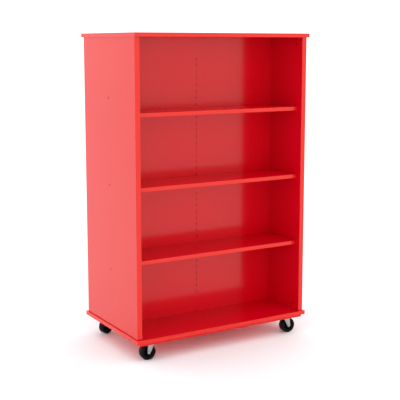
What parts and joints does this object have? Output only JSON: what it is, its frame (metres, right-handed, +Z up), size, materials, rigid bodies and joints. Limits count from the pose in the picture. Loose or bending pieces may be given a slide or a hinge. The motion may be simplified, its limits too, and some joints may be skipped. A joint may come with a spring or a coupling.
{
  "type": "double-sided mobile shelving unit",
  "caption": "Double-sided open shelving unit in red board: centre divider, loose shelves on pins, overhanging top and base, plate casters.",
  "frame": {"origin": "on the floor under the middle of the unit, at the height where the wheels stand", "axes": "+X to the right across the unit, +Y from the front face to the rear face, +Z up"},
  "size_m": [0.969, 0.58, 1.527],
  "materials": {
    "red_board": "gloss",
    "red_edge_band": "gloss",
    "zinc_steel": "satin",
    "dark_screw": "satin",
    "cam_zinc": "satin",
    "beech_dowel": "matte",
    "black_tyre": "satin",
    "black_hub": "satin"
  },
  "bodies": {
    "root": {"base_edge_band": "red_edge_band", "base_panel": "red_board", "cam_bolts": "zinc_steel", "cam_locks": "cam_zinc", "caster_front_left_plate": "zinc_steel", "caster_front_right_plate": "zinc_steel", "caster_plate_screws": "zinc_steel", "caster_rear_left_plate": "zinc_steel", "caster_rear_right_plate": "zinc_steel", "centre_divider": "red_board", "divider_screws": "dark_screw", "kingpins": "zinc_steel", "left_side_edge_bands": "red_edge_band", "left_side_panel": "red_board", "race_balls": "zinc_steel", "right_side_edge_bands": "red_edge_band", "right_side_panel": "red_board", "shelf_pins": "zinc_steel", "sub_base": "red_board", "sub_base_screws": "zinc_steel", "top_edge_band": "red_edge_band", "top_panel": "red_board", "wood_dowels": "beech_dowel"},
    "caster_front_left_fork": {"caster_front_left_fork": "zinc_steel", "caster_front_left_axle_sleeve": "zinc_steel", "caster_front_left_axle_bolt": "zinc_steel", "caster_front_left_axle_nut": "zinc_steel"},
    "caster_front_left_wheel": {"caster_front_left_tyre": "black_tyre", "caster_front_left_wheel_hub": "black_hub"},
    "caster_front_right_fork": {"caster_front_right_fork": "zinc_steel", "caster_front_right_axle_sleeve": "zinc_steel", "caster_front_right_axle_bolt": "zinc_steel", "caster_front_right_axle_nut": "zinc_steel"},
    "caster_front_right_wheel": {"caster_front_right_tyre": "black_tyre", "caster_front_right_wheel_hub": "black_hub"},
    "caster_rear_left_fork": {"caster_rear_left_fork": "zinc_steel", "caster_rear_left_axle_sleeve": "zinc_steel", "caster_rear_left_axle_bolt": "zinc_steel", "caster_rear_left_axle_nut": "zinc_steel"},
    "caster_rear_left_wheel": {"caster_rear_left_tyre": "black_tyre", "caster_rear_left_wheel_hub": "black_hub"},
    "caster_rear_right_fork": {"caster_rear_right_fork": "zinc_steel", "caster_rear_right_axle_sleeve": "zinc_steel", "caster_rear_right_axle_bolt": "zinc_steel", "caster_rear_right_axle_nut": "zinc_steel"},
    "caster_rear_right_wheel": {"caster_rear_right_tyre": "black_tyre", "caster_rear_right_wheel_hub": "black_hub"},
    "shelf_front_lower": {"shelf_front_lower": "red_board", "shelf_front_lower_edge_band": "red_edge_band"},
    "shelf_front_middle": {"shelf_front_middle": "red_board", "shelf_front_middle_edge_band": "red_edge_band"},
    "shelf_front_upper": {"shelf_front_upper": "red_board", "shelf_front_upper_edge_band": "red_edge_band"},
    "shelf_rear_lower": {"shelf_rear_lower": "red_board", "shelf_rear_lower_edge_band": "red_edge_band"},
    "shelf_rear_middle": {"shelf_rear_middle": "red_board", "shelf_rear_middle_edge_band": "red_edge_band"},
    "shelf_rear_upper": {"shelf_rear_upper": "red_board", "shelf_rear_upper_edge_band": "red_edge_band"}
  },
  "joints": [
    {"name": "caster_front_left_swivel", "type": "hinge", "parent": "root", "child": "caster_front_left_fork", "pos_m": [-0.371, -0.237, 0.079], "axis": [0, 0, 1], "continuous": true},
    {"name": "caster_front_left_roll", "type": "hinge", "parent": "caster_front_left_fork", "child": "caster_front_left_wheel", "pos_m": [-0.40698, -0.23574, 0.0375], "axis": [-0.0349, -0.9994, 0], "continuous": true},
    {"name": "caster_front_right_swivel", "type": "hinge", "parent": "root", "child": "caster_front_right_fork", "pos_m": [0.371, -0.237, 0.079], "axis": [0, 0, 1], "continuous": true},
    {"name": "caster_front_right_roll", "type": "hinge", "parent": "caster_front_right_fork", "child": "caster_front_right_wheel", "pos_m": [0.40695, -0.23888, 0.0375], "axis": [0.0523, 0.9986, 0], "continuous": true},
    {"name": "caster_rear_left_swivel", "type": "hinge", "parent": "root", "child": "caster_rear_left_fork", "pos_m": [-0.371, 0.237, 0.079], "axis": [0, 0, 1], "continuous": true},
    {"name": "caster_rear_left_roll", "type": "hinge", "parent": "caster_rear_left_fork", "child": "caster_rear_left_wheel", "pos_m": [-0.40438, 0.22351, 0.0375], "axis": [0.3746, -0.9272, 0], "continuous": true},
    {"name": "caster_rear_right_swivel", "type": "hinge", "parent": "root", "child": "caster_rear_right_fork", "pos_m": [0.371, 0.237, 0.079], "axis": [0, 0, 1], "continuous": true},
    {"name": "caster_rear_right_roll", "type": "hinge", "parent": "caster_rear_right_fork", "child": "caster_rear_right_wheel", "pos_m": [0.40593, 0.22829, 0.0375], "axis": [0.2419, 0.9703, 0], "continuous": true},
    {"name": "shelf_front_lower_slide", "type": "slide", "parent": "root", "child": "shelf_front_lower", "axis": [0, -1, 0], "range_m": [0, 0.27]},
    {"name": "shelf_front_middle_slide", "type": "slide", "parent": "root", "child": "shelf_front_middle", "axis": [0, -1, 0], "range_m": [0, 0.27]},
    {"name": "shelf_front_upper_slide", "type": "slide", "parent": "root", "child": "shelf_front_upper", "axis": [0, -1, 0], "range_m": [0, 0.27]},
    {"name": "shelf_rear_lower_slide", "type": "slide", "parent": "root", "child": "shelf_rear_lower", "axis": [0, 1, 0], "range_m": [0, 0.27]},
    {"name": "shelf_rear_middle_slide", "type": "slide", "parent": "root", "child": "shelf_rear_middle", "axis": [0, 1, 0], "range_m": [0, 0.27]},
    {"name": "shelf_rear_upper_slide", "type": "slide", "parent": "root", "child": "shelf_rear_upper", "axis": [0, 1, 0], "range_m": [0, 0.27]}
  ]
}
